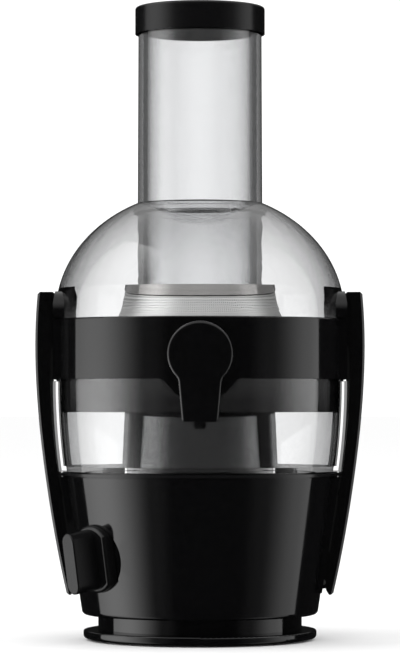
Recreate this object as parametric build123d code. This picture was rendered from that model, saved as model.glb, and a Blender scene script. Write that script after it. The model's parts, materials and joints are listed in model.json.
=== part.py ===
"""Centrifugal juicer: motor unit, pulp container, juice collector with spout, sieve, lid and pusher.

Millimetres. Z is up and is the axis of the motor shaft, with Z = 0 on the table.
The spout points along -Y, which is the front, and the two clamps stand at -X and +X.
Each function builds one sub-part in its place, and the table at the end names the STEP files.
"""

import math
import os

from build123d import *

BIG = 600.0  # longer than the whole juicer, for cutters

# ---------------------------------------------------------------- clearances
AIR = 0.3  # between pieces that move past each other
SEAT = 0.1  # under a piece that rests on another and lifts off it
RUN = 0.05  # radial, between a shaft or pin and its hole
FIT = 0.2  # radial, round a piece that drops into another
SLIDE = 0.6  # radial, round a piece that slides inside a tube
shadow_gap = 1.2  # dark line between two stacked shells

# ---------------------------------------------------------------- screws
screw_r = 1.5
screw_head_r = 3.4
screw_head = 2.0

# ---------------------------------------------------------------- base
foot_ring_height = 1.2  # below the plate
foot_ring_r = 64.0
foot_ring_width = 6.0
foot_ring_groove = 1.0
plate_r = 75.5
plate_height = 5.4
plate_edge = 2.2
plate_slots = 12
spool_r = 66.0
spool_height = 10.0
spool_wall = 3.0
spool_deck = 2.4
base_screw_circle = 50.0

# ---------------------------------------------------------------- motor housing
body_bottom_r = 76.2
body_top_r = 89.5
body_height = 88.9
body_wall = 2.6
body_foot = 3.0
body_edge = 3.0
post_circle = 68.0
post_r = 5.0
post_angles = (62.0, 118.0, 242.0, 298.0)
post_deck = 10.0  # solid top of a post, above the screw's head
lug_circle = 56.0
lug_height = 4.0
lug_half = 6.0
deck_rim_step = 0.4  # the deck's rim beyond the housing
deck_rim_height = 1.7
deck_gap = 0.8  # dark line under the rim
deck_gap_depth = 1.8
deck_rim_depth = 3.0
deck_seat_inset = 6.0
deck_lip_wall = 1.4
deck_notch = 5.8  # cut in the lip for each clamp's pocket
deck_plate = 2.4
deck_lip = 4.0
deck_boss = 9.0
container_seat_width = 4.0
column_bottom_r = 48.0
column_taper = 2.0
column_wall = 2.6
column_edge = 2.0
seal_r = 9.0
seal_lip = 1.8

# ---------------------------------------------------------------- flanks under the clamps
flank_low = 14.4  # above the bottom of the housing
flank_half_low = 21.8
flank_half_high = 27.9
flank_half_container = 29.5
flank_half_collar = 31.0

# ---------------------------------------------------------------- cord outlet
gland_r = 5.0
gland_bore_r = 3.5
gland_flange = 2.0
gland_above_foot = 11.4

# ---------------------------------------------------------------- pulp container
container_height = 58.0
container_step = 0.3  # the container beyond the deck's rim
container_bulge = 1.0  # its bowed side beyond a straight one
container_wall = 2.4
container_floor = 3.4
container_lip = 1.2
chimney_wall = 2.0
chimney_short = 3.0  # how far it stops below the top of the column

# ---------------------------------------------------------------- juice collector
collar_r = 94.4
collar_height = 38.9
collar_wall = 2.6
collar_edge = 0.8
collar_step = 0.2  # the collar beyond the container
skirt_depth = 21.0
skirt_wall = 1.8
trough_lip_wall = 1.8
trough_lip_height = 11.0
trough_floor = 2.0
trough_fall = 2.6  # degrees, towards the spout
trough_rise = 3.2  # of the floor at the axis, so that the front stays thick enough

# ---------------------------------------------------------------- spout
spout_disc_r = 20.4
spout_above_collar_foot = 15.1
spout_depth = 17.0
spout_neck_half = 13.4
spout_neck_drop = 17.0
spout_end_half = 11.2
spout_end_drop = 42.0
spout_wall = 2.2
spout_front_wall = 3.4
spout_blend = 7.0  # radius between disc and nozzle
spout_edge = 2.0
spout_belly_r = 112.0  # curve of its front, seen from above
spigot_r = 13.0
spigot_wall = 2.0
spigot_length = 7.6
apron_r = 28.1
o_ring = 1.6

# ---------------------------------------------------------------- lid and feed tube
dome_step = 0.6  # the collar beyond the dome
dome_straight = 4.0  # upright part at the rim
dome_height = 79.5  # of the ellipse above it, which the feed tube cuts short
dome_wall = 2.4
lid_lip_depth = 5.0
lid_lip_wall = 2.0
tube_bore_r = 37.5
tube_wall = 3.0
tube_above_dome = 115.0
tube_draft = 0.4  # outer radius lost towards either end
tube_shoulder = 3.4
tube_shoulder_step = 3.0
tube_edge = 1.2
catch_half = 36.0
catch_height = 17.6
catch_corner = 13.0
catch_thick = 0.3  # at its thinnest, in the middle

# ---------------------------------------------------------------- pusher
pusher_wall = 2.2
pusher_floor = 3.0
pusher_short = 1.5  # how far it stops above the end of the tube
cap_step = 1.7  # the cap beyond the tube
cap_height = 12.6
cap_edge = 1.8
cap_band = 6.4
cap_band_flange = 1.4
cap_plug = 5.6
cap_groove = 5.0

# ---------------------------------------------------------------- sieve
sieve_mouth_clear = 6.4  # round the feed tube
sieve_shoulder_step = 1.7
sieve_shoulder_drop = 6.1
sieve_foot_r = 62.6
sieve_height = 44.5
sieve_above_collar = 17.2
sieve_bow = 2.0
sieve_rim = 2.0
sieve_gap = 2.0  # between the sieve and the lip of the trough
steel = 0.8
base_ring_width = 5.0
base_ring_height = 8.0
grater_r = 46.0
grater_thick = 1.2
grater_rim = 0.6
grater_below_foot = 2.0
tooth_height = 1.4
tooth_r = 1.3
tooth_rows = (17.5, 27.0, 36.5)
tooth_pitch = 6.4
feed_gap = 2.2  # from the teeth to the end of the feed tube
hub_r = 16.0
hub_height = 16.8
hub_gap = 2.6  # between the column and the hub
spoke_count = 6
spoke_width = 6.0
spoke_height = 5.0
grater_screw_circle = 12.8
grater_screw_r = 1.2

# ---------------------------------------------------------------- drive and motor
shaft_r = 4.0
coupling_r = 8.6
coupling_height = 11.0
socket_wall = 2.4
spline_count = 8
spline_depth = 1.6
spline_width = 3.0
mount_r = 6.5
mount_height = 6.0
mount_post = 10.0
bracket_thick = 3.0
bracket_arm = 12.0
bearing_r = 11.0
bearing_height = 7.0
bearing_wall = 2.4
bearing_lip = 1.4
stator_r = 41.0
stator_bore_r = 23.0
rotor_gap = 0.6
bolt_inset = 5.0
bolt_r = 2.0
spacer_r = 3.5
commutator_r = 11.0
commutator_height = 13.0
commutator_bars = 24
winding_r = 19.5
winding_head = 9.0
armature_slots = 12
brush_width = 6.8
brush_holder_wall = 1.2
brush_reach = 26.0
fan_height = 9.0
fan_plate = 1.6
fan_blades = 12
fan_gap = 2.4
upper_bearing_gap = 13.0  # between the upper bearing and the top of the column

# ---------------------------------------------------------------- clamps
clamp_top_above_collar = 17.2
clamp_half_top = 27.5
clamp_half_foot = 19.0
clamp_gap = 1.4  # behind the arm
clamp_arm = 8.4
clamp_bow = 1.6  # the arm's outer curve beyond a constant thickness, at the collar
clamp_edge = 1.4
clamp_pin_r = 1.8
clamp_knuckle_r = 4.2
clamp_pivot_above_foot = 21.4
clamp_pivot_inset = 0.4
clamp_tip_drop = 8.2  # of the tip below the pivot
clamp_tip_out = 6.6
clamp_tip_width = 2.6
clamp_foot_relief = 2.3  # beyond the pivot, so that the foot clears the housing when it is open
clamp_lug_high = 19.0
clamp_lug_in = 1.6
clamp_taper = 0.6
pocket_wall = 2.4

# ---------------------------------------------------------------- interlock
plunger_r = 2.6
plunger_below_top = 9.5
plunger_length = 17.0
plunger_collar = 1.6
switch_width = 20.0
switch_height = 13.0
switch_depth = 10.0
switch_peg_r = 1.4
switch_peg_spread = 7.5

# ---------------------------------------------------------------- control knob
knob_azimuth = 53.0  # degrees from the front, towards the left
knob_above_foot = 37.9
knob_r = 21.6
knob_half = 15.4  # of the disc across its grip
knob_disc = 7.4
knob_sunk = 3.2
knob_edge = 2.0
knob_seat_wall = 2.6
grip_length = 39.0
grip_width = 12.4
grip_height = 16.5
grip_edge = 1.0
knob_shaft_r = 3.0
knob_shaft_length = 22.0
knob_shaft_in = 4.0  # into the grip
shaft_collar_r = 7.0
dial_switch_width = 28.0
dial_switch_height = 26.0
dial_switch_depth = 16.0

# ---------------------------------------------------------------- heights that follow
plate_z = foot_ring_height
spool_z = plate_z + plate_height
body_z = spool_z + spool_height
body_top_z = body_z + body_height
deck_top_z = body_top_z + deck_gap + deck_rim_height
container_z = deck_top_z + shadow_gap
container_top_z = container_z + container_height
collar_z = container_top_z + shadow_gap
collar_top_z = collar_z + collar_height
lid_z = collar_top_z + SEAT
spout_z = collar_z + spout_above_collar_foot
sieve_top_z = collar_top_z + sieve_above_collar
sieve_foot_z = sieve_top_z - sieve_height
grater_z = sieve_foot_z - grater_below_foot
hub_top_z = grater_z
hub_z = hub_top_z - hub_height
coupling_top_z = hub_z + coupling_height
column_top_z = hub_z - hub_gap
tube_foot_z = grater_z + grater_thick + tooth_height + feed_gap
pusher_foot_z = tube_foot_z + pusher_short

# ---------------------------------------------------------------- radii that follow
deck_rim_r = body_top_r + deck_rim_step
column_top_r = column_bottom_r - column_taper
container_bottom_r = deck_rim_r + container_step
container_top_r = collar_r - collar_step
container_middle_r = (container_bottom_r + container_top_r) / 2 + container_bulge
dome_r = collar_r - dome_step
tube_r = tube_bore_r + tube_wall
dome_z = lid_z + dome_straight
dome_top_z = dome_z + dome_height * math.sqrt(1 - (tube_r / dome_r) ** 2)
tube_top_z = dome_top_z + tube_above_dome
cap_z = tube_top_z + SEAT
cap_r = tube_r + cap_step
pusher_r = tube_bore_r - SLIDE
sieve_mouth_r = tube_r + sieve_mouth_clear
sieve_shoulder_r = sieve_mouth_r + sieve_shoulder_step
trough_lip_r = sieve_foot_r + sieve_gap + trough_lip_wall

# ---------------------------------------------------------------- spout and knob places
spout_back_y = -(collar_r + 2 * AIR)
spigot_end_y = spout_back_y - spigot_length
o_ring_y = spout_back_y - spigot_length / 2

# ---------------------------------------------------------------- motor heights
bolt_circle = stator_r - bolt_inset
fan_r = bolt_circle - spacer_r - 4 * AIR
coil_r = bolt_circle - spacer_r - AIR
rotor_r = stator_bore_r - rotor_gap
spool_top_z = body_z + 2.0
mount_z = spool_top_z + mount_post
lower_bracket_z = mount_z + mount_height
lower_bearing_z = lower_bracket_z + bearing_lip
commutator_z = lower_bearing_z + bearing_height + 2.0
brush_z = commutator_z + commutator_height / 2
stator_z = commutator_z + commutator_height + 1.0 + winding_head
upper_bearing_z = column_top_z - upper_bearing_gap - bearing_height
upper_bracket_z = upper_bearing_z - 2 * bearing_lip
fan_z = upper_bracket_z - fan_height - fan_gap - 2.0
stator_top_z = fan_z - winding_head - fan_gap  # the core fills the room that is left


# ================================================================ helpers
def turned(*edges):
    """Solid of revolution about Z of a closed outline in the XZ plane, with x as the radius."""
    return revolve(Plane.XZ * make_face(Curve() + list(edges)), Axis.Z)


def lathe(*points):
    """Solid of revolution about Z of a straight-sided outline of (radius, height) points."""
    return revolve(Plane.XZ * make_face(Polyline(*points, close=True)), Axis.Z)


def ring(inner, outer, low, high):
    """Plain ring, or a disc where inner is 0."""
    return lathe((inner, low), (outer, low), (outer, high), (inner, high))


def rod(radius, start, end):
    """Round bar between two points."""
    line = Vector(*end) - Vector(*start)
    base = Plane(origin=start, z_dir=line)
    return base * Cylinder(radius, line.length, align=(Align.CENTER, Align.CENTER, Align.MIN))


def peg(radius, out, low, high):
    """Upright round bar at a distance from the axis."""
    return rod(radius, (out, 0, low), (out, 0, high))


def block(x0, x1, y0, y1, z0, z1):
    """Box between two corners."""
    corner = (Align.MIN, Align.MIN, Align.MIN)
    return Pos(x0, y0, z0) * Box(x1 - x0, y1 - y0, z1 - z0, align=corner)


def around(shape, count, start=0.0):
    """Copies of a shape, evenly spaced about Z."""
    return [Rot(0, 0, start + 360.0 * i / count) * shape for i in range(count)]


def at_posts(shape):
    """Copies of a shape at the angles of the housing's posts."""
    return [Rot(0, 0, angle) * shape for angle in post_angles]


def group(shapes):
    """Several separate solids as one node."""
    return Compound(children=[solid for shape in shapes for solid in shape.solids()])


def mirrored(shape):
    """The same piece on the other side of the juicer."""
    return mirror(shape, about=Plane.YZ)


def both_sides(shape):
    """A feature of the right flank and its twin on the left."""
    return [shape, mirrored(shape)]


def through(face, half):
    """Face drawn with x and z, pushed out along Y by half its width to either side."""
    return Pos(0, half, 0) * extrude(Plane.XZ * face, 2 * half)


def slab(points, half):
    """Straight-sided outline in the XZ plane, pushed out both ways along Y."""
    return through(make_face(Polyline(*points, close=True)), half)


def flank(*levels):
    """Cutter for the right flank that keeps a band of (height, half width) levels across Y."""
    right = [(half, z) for z, half in levels]
    left = [(-half, z) for z, half in reversed(levels)]
    return extrude(Plane.YZ * make_face(Polyline(*right, *left, close=True)), BIG)


def outer_edge(shape, index):
    """Largest circle among the edges at the lowest (0) or highest (-1) level."""
    return shape.edges().filter_by(GeomType.CIRCLE).group_by(Axis.Z)[index].sort_by(SortBy.RADIUS)[-1]


def body_radius(z):
    """Outer radius of the housing at a height."""
    return body_bottom_r + (body_top_r - body_bottom_r) * (z - body_z) / body_height


def container_radius(z):
    """Outer radius of the container at a height, on a curve through its three radii."""
    t = (z - container_z) / container_height
    low, mid, top = container_bottom_r, container_middle_r, container_top_r
    return low + t * (4 * mid - 3 * low - top) + t * t * (2 * low + 2 * top - 4 * mid)


# ================================================================ base
def foot_ring():
    """Soft ring that the juicer stands on, set in a groove of the base plate."""
    inner = foot_ring_r - foot_ring_width
    return ring(inner, foot_ring_r, 0, plate_z + foot_ring_groove)


def foot_plate():
    """Round base plate, with the groove for the foot ring, air slots and screw holes."""
    plate = ring(0, plate_r, plate_z, spool_z)
    plate = fillet(outer_edge(plate, 0), plate_edge)
    plate = fillet(outer_edge(plate, -1), plate_edge / 2)
    inner = foot_ring_r - foot_ring_width
    plate -= ring(inner, foot_ring_r, plate_z - 1, plate_z + foot_ring_groove)
    slot = Pos(base_screw_circle - 14, 0, plate_z) * extrude(SlotOverall(20, 4), BIG, both=True)
    plate -= around(slot, plate_slots)
    plate -= around(peg(screw_r + FIT, base_screw_circle, 0, BIG), 4, 45)
    plate -= around(peg(screw_head_r + FIT, base_screw_circle, 0, plate_z + screw_head), 4, 45)
    return plate


def base_screws():
    """Four slotted screws up through the base plate into the cord spool."""
    head_z = plate_z + screw_head
    screw = peg(screw_head_r, base_screw_circle, plate_z + 0.2, head_z)
    screw += peg(screw_r, base_screw_circle, head_z, spool_z + spool_height - 2)
    slot = block(-BIG, BIG, -0.5, 0.5, 0, head_z - 1)
    return group(around(screw - slot, 4, 45))


def cord_spool():
    """Neck that the cord is wound round, with the posts for the screws and for the motor."""
    step_r = spool_r - spool_wall
    spool = ring(step_r - spool_wall, spool_r, spool_z, body_z)
    spool += ring(30, step_r, spool_top_z - spool_deck, spool_top_z)
    spool += ring(step_r - spool_wall, step_r, spool_z, spool_top_z)
    spool -= around(Pos(56, 0, spool_top_z) * Box(5, 12, 8), 8, 22.5)
    spool += around(peg(5.0, base_screw_circle, spool_z, spool_top_z), 4, 45)
    spool += around(peg(mount_r + 0.5, bolt_circle, spool_top_z - spool_deck, mount_z), 4)
    spool -= around(peg(screw_r, base_screw_circle, 0, body_z - 2 + screw_head), 4, 45)
    spool -= around(peg(screw_r + FIT, lug_circle, 0, BIG), 4)
    return spool


def housing_screws():
    """Four screws up through the spool into the lugs of the housing."""
    head_z = spool_top_z - spool_deck
    screw = peg(screw_head_r, lug_circle, head_z - screw_head, head_z)
    screw += peg(screw_r, lug_circle, head_z, spool_top_z + lug_height - 0.5)
    return group(around(screw, 4))


# ================================================================ places on the housing
pivot_z = body_z + clamp_pivot_above_foot
pivot_x = body_radius(pivot_z) - clamp_pivot_inset
pocket_x = pivot_x - clamp_knuckle_r - 2 * AIR
pocket_low = pivot_z - clamp_knuckle_r - 2 * AIR
pocket_high = pivot_z + clamp_lug_high + 2 * AIR
pocket_half = clamp_half_foot + AIR
plunger_z = body_top_z - plunger_below_top
plunger_x = body_radius(plunger_z - plunger_r) + clamp_gap - SEAT
switch_x = plunger_x - plunger_length - SEAT
flank_z = body_z + flank_low
post_top_z = body_top_z - deck_boss
gland_z = body_z + gland_above_foot
knob_shaft_top = AIR - knob_sunk + knob_disc + knob_shaft_in


def knob_plane(depth):
    """Plane square to the knob's axis, at a distance outside the housing's surface."""
    lean = math.atan((body_top_r - body_bottom_r) / body_height)
    turn = math.radians(knob_azimuth)
    side, front = -math.sin(turn), -math.cos(turn)
    out = Vector(side * math.cos(lean), front * math.cos(lean), -math.sin(lean))
    z = body_z + knob_above_foot
    foot = Vector(body_radius(z) * side, body_radius(z) * front, z)
    return Plane(origin=foot + out * depth, x_dir=(-front, side, 0), z_dir=out)


def knob_bar(radius, low, high):
    """Round bar on the knob's axis between two depths."""
    bar = Cylinder(radius, high - low, align=(Align.CENTER, Align.CENTER, Align.MIN))
    return knob_plane(low) * bar


def plunger_bar(radius, start, end, y=0):
    """Round bar along X at the height of the interlock."""
    return rod(radius, (start, y, plunger_z), (end, y, plunger_z))


# ================================================================ motor housing
def housing_core(shrink):
    """Filled cone of the housing, smaller by shrink."""
    low, high = body_z, body_top_z
    return lathe((0, low), (body_bottom_r - shrink, low), (body_top_r - shrink, high), (0, high))


def housing_skin():
    """Hollow cone with its foot, its flat flanks and the lugs that stand on the spool."""
    skin = fillet(outer_edge(housing_core(0), 0), body_edge)
    outline = [(0, flank_z), (body_radius(flank_z), flank_z), (body_top_r, body_top_z), (0, body_top_z)]
    flat = slab(outline, BIG) & flank((flank_z, flank_half_low), (body_top_z, flank_half_high))
    skin += both_sides(flat)
    skin -= housing_core(body_wall) - ring(0, BIG, 0, body_z + body_foot)
    skin -= ring(0, spool_r - spool_wall + FIT, 0, body_z + body_foot + 1)
    lug = block(lug_circle - 4, spool_r + 1, -lug_half, lug_half, spool_top_z, spool_top_z + lug_height)
    return skin + around(lug, 4)


def motor_housing():
    """Outer shell, with a pocket for each clamp's foot, posts for the deck and the knob's seat."""
    shell = housing_skin()
    core = housing_core(body_wall / 2)
    half = pocket_half + pocket_wall
    low, high = pocket_low - pocket_wall, pocket_high + pocket_wall
    shell += both_sides(block(pocket_x - pocket_wall, BIG, -half, half, low, high) & core)
    shell += knob_bar(knob_r + knob_seat_wall, -knob_sunk - knob_seat_wall, 0) & core
    for y in (-switch_peg_spread, switch_peg_spread):
        shell += both_sides(plunger_bar(switch_peg_r, switch_x - switch_depth, BIG, y) & core)
    shell += at_posts(peg(post_r, post_circle, body_z, post_top_z))
    shell -= at_posts(peg(screw_head_r + FIT, post_circle, 0, post_top_z - post_deck))
    shell -= at_posts(peg(screw_r + FIT, post_circle, 0, post_top_z + 1))
    shell -= around(peg(screw_r, lug_circle, spool_top_z - 1, spool_top_z + lug_height + 1), 4)
    pocket = block(pocket_x, BIG, -pocket_half, pocket_half, pocket_low, pocket_high)
    pin_front = (pivot_x, -half + 0.4, pivot_z)
    shell -= both_sides(pocket)
    shell -= both_sides(rod(clamp_pin_r, pin_front, (pivot_x, BIG, pivot_z)))
    shell -= both_sides(plunger_bar(plunger_r + RUN, body_bottom_r, BIG))
    shell -= knob_bar(knob_r + AIR, -knob_sunk, BIG)
    shell -= knob_bar(knob_shaft_r + RUN, -20, 0)
    shell -= rod(gland_r, (0, post_circle, gland_z), (0, BIG, gland_z))
    return shell


def deck_screws():
    """Four screws up through the housing's posts into the bosses of the deck."""
    seat = post_top_z - post_deck
    screw = peg(screw_head_r, post_circle, seat - screw_head, seat)
    screw += peg(screw_r, post_circle, seat, body_top_z - 1)
    return group(at_posts(screw))


def cord_gland():
    """Rubber sleeve in the back wall, where the mains cord comes out."""
    wall_y = body_radius(gland_z)
    gland = rod(gland_r, (0, wall_y - 7.5, gland_z), (0, wall_y + 2, gland_z))
    outside = (0, wall_y + 1.4, gland_z), (0, wall_y + 3.2, gland_z)
    inside = (0, wall_y - 7.5, gland_z), (0, wall_y - 4.6, gland_z)
    gland += rod(gland_r + gland_flange, *outside) + rod(gland_r + gland_flange, *inside)
    return gland - rod(gland_bore_r, (0, 0, gland_z), (0, BIG, gland_z))


def top_deck():
    """Cover of the housing: a rim that shows as a thin band, a plate, and a column for the motor."""
    neck_r = deck_rim_r - deck_gap_depth
    seat_r = container_bottom_r - deck_seat_inset
    plate_top = body_top_z + deck_plate
    rim = ring(neck_r - deck_rim_depth, deck_rim_r, body_top_z + deck_gap, deck_top_z)
    tab = slab([(0, body_top_z + deck_gap), (deck_rim_r, body_top_z + deck_gap),
                (deck_rim_r, deck_top_z), (0, deck_top_z)], flank_half_high)
    deck = ring(column_bottom_r - column_wall, neck_r, body_top_z, plate_top)
    deck += rim + both_sides(tab - ring(0, neck_r - 1, 0, BIG))
    deck += ring(seat_r - container_seat_width, seat_r, plate_top - 1, container_z - SEAT)
    lip_r = body_radius(body_top_z - deck_lip) - body_wall - FIT
    deck += ring(lip_r - deck_lip_wall, lip_r, body_top_z - deck_lip, plate_top)
    deck -= around(Pos(lip_r, 0, body_top_z - deck_notch / 2) * Box(10, 2 * pocket_half, deck_notch), 2)
    deck += motor_column()
    deck += at_posts(peg(post_r - 1, post_circle, post_top_z, plate_top - 1))
    deck -= at_posts(peg(screw_r, post_circle, 0, body_top_z - 1))
    return deck


def motor_column():
    """Tapered column that closes over the motor, open only for the shaft and its seal."""
    column = lathe(
        (column_bottom_r - column_wall, body_top_z),
        (column_bottom_r, body_top_z),
        (column_top_r, column_top_z),
        (seal_r, column_top_z),
        (seal_r, column_top_z - column_wall),
        (column_top_r - column_wall, column_top_z - column_wall),
    )
    return fillet(outer_edge(column, -1), column_edge)


def shaft_seal():
    """Lip seal round the shaft in the top of the column."""
    bore = shaft_r + RUN
    return lathe(
        (bore, column_top_z - column_wall),
        (seal_r, column_top_z - column_wall),
        (seal_r, column_top_z),
        (bore + 1.6, column_top_z + seal_lip / 2),
        (bore, column_top_z + seal_lip),
    )


# ================================================================ motor
def motor_mounts():
    """Four rubber blocks that carry the motor on the posts of the cord spool."""
    return group(around(peg(mount_r, bolt_circle, mount_z, lower_bracket_z), 4))


def end_frame(low, legs_low, legs_high, bearing_low):
    """Four-armed end frame with its bearing seat and a spacer leg on each arm."""
    top = low + bracket_thick
    frame = ring(0, 18, low, top)
    frame += around(block(0, bolt_circle + 5, -bracket_arm / 2, bracket_arm / 2, low, top), 4)
    frame += ring(0, bearing_r + bearing_wall, low, bearing_low + bearing_height)
    frame += around(peg(spacer_r, bolt_circle, legs_low, legs_high), 4)
    frame -= ring(0, bearing_r, bearing_low, bearing_low + bearing_height + 1)
    frame -= ring(0, shaft_r + 1, 0, BIG)
    frame -= around(peg(bolt_r, bolt_circle, 0, BIG), 4)
    return frame


def lower_bracket():
    """Bottom end frame of the motor."""
    return end_frame(lower_bracket_z, lower_bracket_z, stator_z, lower_bearing_z)


def upper_bracket():
    """Top end frame of the motor."""
    return end_frame(upper_bracket_z, stator_top_z, upper_bracket_z + 1, upper_bearing_z)


def lower_bearing():
    """Ball bearing at the bottom of the motor, as one closed ring."""
    return ring(shaft_r + RUN, bearing_r, lower_bearing_z, lower_bearing_z + bearing_height)


def upper_bearing():
    """Ball bearing at the top of the motor, as one closed ring."""
    return ring(shaft_r + RUN, bearing_r, upper_bearing_z, upper_bearing_z + bearing_height)


def motor_bolts():
    """Four long bolts that hold the end frames and the stator together."""
    top = upper_bracket_z + bracket_thick
    bolt = peg(bolt_r, bolt_circle, lower_bracket_z, top)
    bolt += peg(screw_head_r, bolt_circle, top, top + screw_head)
    return group(around(bolt, 4))


def stator_core():
    """Laminated core with its winding windows and a hole for each long bolt."""
    core = ring(stator_bore_r, stator_r, stator_z, stator_top_z)
    window = block(-4.5, 4.5, stator_bore_r - 5, coil_r, 0, BIG)
    for side in (30, 150, 210, 330):
        core -= Rot(0, 0, side) * window
    return core - around(peg(bolt_r, bolt_circle, 0, BIG), 4)


def field_coils():
    """Two coils on the stator, each a half ring of wire above and below the core."""
    inner = stator_bore_r + 1.6
    wire = ring(inner, coil_r, stator_top_z, stator_top_z + winding_head - 2)
    wire += ring(inner, coil_r, stator_z - winding_head + 2, stator_z)
    wire -= block(-BIG, BIG, -9.0, 9.0, 0, BIG)
    return group([wire])


def brush_shape(half, start, end):
    """Square bar from start to end along X at the height of the brushes."""
    return block(start, end, -half, half, brush_z - half, brush_z + half)


def brush_holders():
    """Two brass tubes that guide the carbon brushes, on feet from the lower end frame."""
    half = brush_width / 2 + brush_holder_wall
    start, end = commutator_r + 2.5, brush_reach + 3
    tube = brush_shape(half, start, end)
    tube -= brush_shape(brush_width / 2 + RUN, 0, end - brush_holder_wall)
    foot = block(brush_reach - 4, end, -half, half, lower_bracket_z + bracket_thick, brush_z - half)
    return group(around(tube + foot, 2))


def carbon_brushes():
    """Two carbon brushes that bear on the commutator."""
    brush = brush_shape(brush_width / 2, 0, brush_reach) - ring(0, commutator_r + RUN, 0, BIG)
    return group(around(brush, 2))


def motor_shaft():
    """Steel shaft from the lower bearing to the drive coupling."""
    return peg(shaft_r, 0, lower_bearing_z, coupling_top_z - 1)


def rotor_core():
    """Laminated armature with winding slots."""
    core = ring(shaft_r, rotor_r, stator_z + 1, stator_top_z - 1)
    return core - around(block(14, BIG, -0.7, 0.7, 0, BIG), armature_slots)


def rotor_windings():
    """Wire heads above and below the armature."""
    above = ring(shaft_r, winding_r, stator_top_z - 1, stator_top_z + winding_head)
    below = ring(shaft_r, winding_r, stator_z - winding_head, stator_z + 1)
    return group([fillet(outer_edge(above, -1), 4), fillet(outer_edge(below, 0), 4)])


def commutator():
    """Copper commutator, with its bars parted by slots."""
    body = ring(shaft_r, commutator_r, commutator_z, commutator_z + commutator_height)
    return body - around(block(commutator_r - 1, BIG, -0.25, 0.25, 0, BIG), commutator_bars)


def cooling_fan():
    """Radial fan between the armature and the upper end frame."""
    fan = ring(shaft_r, 9.0, fan_z, fan_z + fan_height)
    fan += ring(shaft_r, fan_r, fan_z, fan_z + fan_plate)
    fan += around(block(12, fan_r - 0.6, -0.7, 0.7, fan_z + 1, fan_z + fan_height), fan_blades)
    return fan


def spline_section(grow):
    """Toothed cross-section shared by the drive coupling and its socket."""
    face = Circle(coupling_r - spline_depth + grow)
    tooth = Pos(coupling_r / 2, 0) * Rectangle(coupling_r + 2 * grow, spline_width + 2 * grow)
    return face + around(tooth, spline_count)


def drive_coupling():
    """Splined plastic driver on the top of the shaft."""
    driver = Pos(0, 0, hub_z) * extrude(spline_section(0), coupling_height)
    return driver - peg(shaft_r, 0, 0, coupling_top_z - 1)


# ================================================================ sieve
def socket_height():
    """Height of the socket insert, over the coupling and its own roof."""
    return coupling_height + 2 * AIR + 1.4


def sieve_socket():
    """Socket insert moulded into the hub, which drops over the drive coupling."""
    socket = ring(0, coupling_r + socket_wall, hub_z, hub_z + socket_height())
    bore = extrude(spline_section(AIR), coupling_height + 2 * AIR + 1)
    return socket - Pos(0, 0, hub_z - 1) * bore


def sieve_spider():
    """Plastic hub, six spokes and foot ring that carry the mesh; pulp falls between the spokes."""
    low = sieve_foot_z - base_ring_height
    inner = sieve_foot_r - base_ring_width
    spider = ring(inner, sieve_foot_r, low, sieve_foot_z)
    spider += ring(0, hub_r, hub_z, hub_top_z)
    half = spoke_width / 2
    spider += around(block(hub_r - 2, inner + 2, -half, half, low, low + spoke_height), spoke_count)
    spider -= ring(0, coupling_r + socket_wall, 0, hub_z + socket_height())
    hole = peg(grater_screw_r, grater_screw_circle, hub_top_z - 4.4, BIG)
    return spider - around(hole, 3, 30)


def sieve_curve(shift):
    """Three points of the mesh's bowed side, from shoulder to foot, moved inwards by shift."""
    top_z = sieve_top_z - sieve_shoulder_drop
    middle_r = (sieve_shoulder_r + sieve_foot_r) / 2 + sieve_bow
    middle = (middle_r - shift, (top_z + sieve_foot_z) / 2)
    return [(sieve_shoulder_r - shift, top_z), middle, (sieve_foot_r - shift, sieve_foot_z)]


def sieve_mesh():
    """Steel drum of the sieve, as a plain thin shell."""
    outer, inner = sieve_curve(0), sieve_curve(steel)
    foot, mouth = Line(outer[-1], inner[-1]), Line(inner[0], outer[0])
    return turned(ThreePointArc(*outer), foot, ThreePointArc(*reversed(inner)), mouth)


def sieve_top_ring():
    """Smooth steel ring with a rolled edge at the mouth of the sieve."""
    low = sieve_top_z - sieve_shoulder_drop
    return lathe(
        (sieve_shoulder_r - steel, low),
        (sieve_shoulder_r, low),
        (sieve_shoulder_r + 0.5, low + 0.5),
        (sieve_mouth_r + 0.1, sieve_top_z - 0.5),
        (sieve_mouth_r - 0.4, sieve_top_z),
        (sieve_mouth_r - sieve_rim, sieve_top_z),
        (sieve_mouth_r - sieve_rim - 0.4, sieve_top_z - 0.5),
        (sieve_mouth_r - sieve_rim, sieve_top_z - 1),
        (sieve_mouth_r - 0.9, sieve_top_z - 1),
        (sieve_shoulder_r - steel, low + 0.5),
    )


def grater_disc():
    """Steel disc with a raised rim and rings of small upright teeth."""
    top = grater_z + grater_thick
    disc = ring(0, grater_r, grater_z, top)
    disc += ring(grater_r - 1.2, grater_r, grater_z, top + grater_rim)
    tooth = lathe((0, top - 0.2), (tooth_r, top - 0.2), (0, top + tooth_height))
    for radius in tooth_rows:
        disc += around(Pos(radius, 0, 0) * tooth, round(2 * math.pi * radius / tooth_pitch))
    return disc - around(peg(grater_screw_r, grater_screw_circle, 0, BIG), 3, 30)


def grater_screws():
    """Three flat-head screws that hold the disc on the hub."""
    top = grater_z + grater_thick
    screw = peg(2 * grater_screw_r, grater_screw_circle, top, top + 0.9)
    screw += peg(grater_screw_r, grater_screw_circle, hub_top_z - 4.4, top)
    return group(around(screw, 3, 30))


# ================================================================ pulp container
def container_side(shift, low, high):
    """Bowed side of the container between two heights, moved inwards by shift."""
    levels = (low, (low + high) / 2, high)
    return ThreePointArc(*[(container_radius(z) - shift, z) for z in levels])


def bowed_blank(shift, low, high):
    """Filled body of the container's outline between two heights."""
    side = container_side(shift, low, high)
    return turned(side, Polyline(side @ 1, (0, high), (0, low), side @ 0))


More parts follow.
